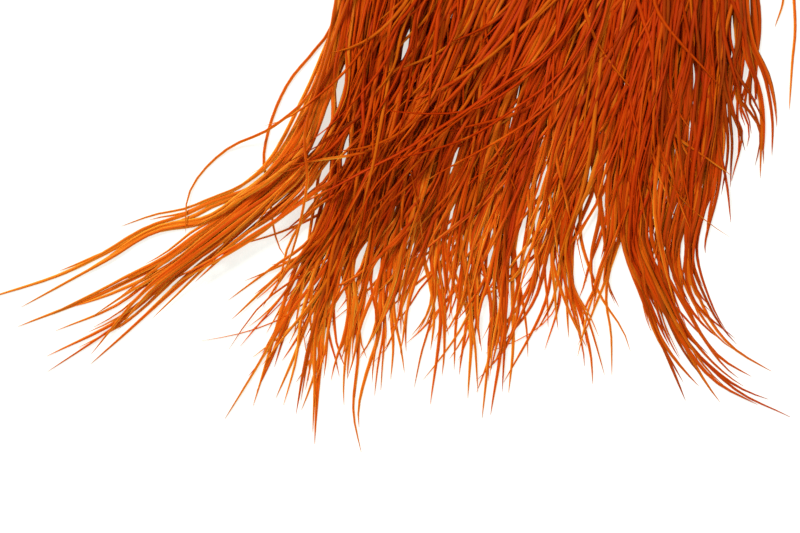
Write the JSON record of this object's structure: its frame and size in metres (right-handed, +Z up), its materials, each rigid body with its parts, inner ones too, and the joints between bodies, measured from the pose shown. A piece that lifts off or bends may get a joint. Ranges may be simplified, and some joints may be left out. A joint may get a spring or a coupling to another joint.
{
  "type": "rooster saddle hackle",
  "caption": "Dyed rooster saddle hackle lying flat: a dried skin patch with rows of long slender orange feathers combed back from it and fanning out into loose pointed tips.",
  "frame": {"origin": "middle of the skin patch's flat underside, on the surface that it lies on", "axes": "+Z up out of the surface, -Y along the feathers from the skin towards their tips, +X to the right when the tips point at the viewer and the part is seen from above"},
  "size_m": [0.2867, 0.3017, 0.0234],
  "materials": {
    "dried_skin": "matt, dry, stained by the dye",
    "rear_feathers": "satin feather vanes, dyed orange",
    "second_feathers": "satin feather vanes, dyed orange",
    "middle_feathers": "satin feather vanes, dyed orange",
    "fourth_feathers": "satin feather vanes, dyed orange",
    "front_feathers": "satin feather vanes, dyed orange",
    "stray_feathers": "satin feather vanes, dyed orange"
  },
  "bodies": {
    "root": {"skin_patch": "dried_skin", "rear_row_lock_01": "rear_feathers", "rear_row_lock_02": "rear_feathers", "rear_row_lock_03": "rear_feathers", "rear_row_lock_04": "rear_feathers", "rear_row_lock_05": "rear_feathers", "rear_row_lock_06": "rear_feathers", "rear_row_lock_07": "rear_feathers", "rear_row_lock_08": "rear_feathers", "rear_row_lock_09": "rear_feathers", "rear_row_lock_10": "rear_feathers", "rear_row_lock_11": "rear_feathers", "rear_row_lock_12": "rear_feathers", "rear_row_lock_13": "rear_feathers", "rear_row_lock_14": "rear_feathers", "second_row_lock_01": "second_feathers", "second_row_lock_02": "second_feathers", "second_row_lock_03": "second_feathers", "second_row_lock_04": "second_feathers", "second_row_lock_05": "second_feathers", "second_row_lock_06": "second_feathers", "second_row_lock_07": "second_feathers", "second_row_lock_08": "second_feathers", "second_row_lock_09": "second_feathers", "second_row_lock_10": "second_feathers", "second_row_lock_11": "second_feathers", "second_row_lock_12": "second_feathers", "second_row_lock_13": "second_feathers", "middle_row_lock_01": "middle_feathers", "middle_row_lock_02": "middle_feathers", "middle_row_lock_03": "middle_feathers", "middle_row_lock_04": "middle_feathers", "middle_row_lock_05": "middle_feathers", "middle_row_lock_06": "middle_feathers", "middle_row_lock_07": "middle_feathers", "middle_row_lock_08": "middle_feathers", "middle_row_lock_09": "middle_feathers", "middle_row_lock_10": "middle_feathers", "fourth_row_lock_01": "fourth_feathers", "fourth_row_lock_02": "fourth_feathers", "fourth_row_lock_03": "fourth_feathers", "fourth_row_lock_04": "fourth_feathers", "fourth_row_lock_05": "fourth_feathers", "fourth_row_lock_06": "fourth_feathers", "fourth_row_lock_07": "fourth_feathers", "fourth_row_lock_08": "fourth_feathers", "front_row_lock_01": "front_feathers", "front_row_lock_02": "front_feathers", "front_row_lock_03": "front_feathers", "front_row_lock_04": "front_feathers", "front_row_lock_05": "front_feathers", "front_row_lock_06": "front_feathers", "right_edge_lock": "stray_feathers", "upper_loop_feather": "stray_feathers", "short_right_stray_feather": "stray_feathers", "long_right_stray_feather": "stray_feathers", "gap_crossing_feather": "stray_feathers", "outer_loop_feather": "stray_feathers", "curved_stray_feather": "stray_feathers", "crossing_lock": "stray_feathers"}
  },
  "joints": []
}
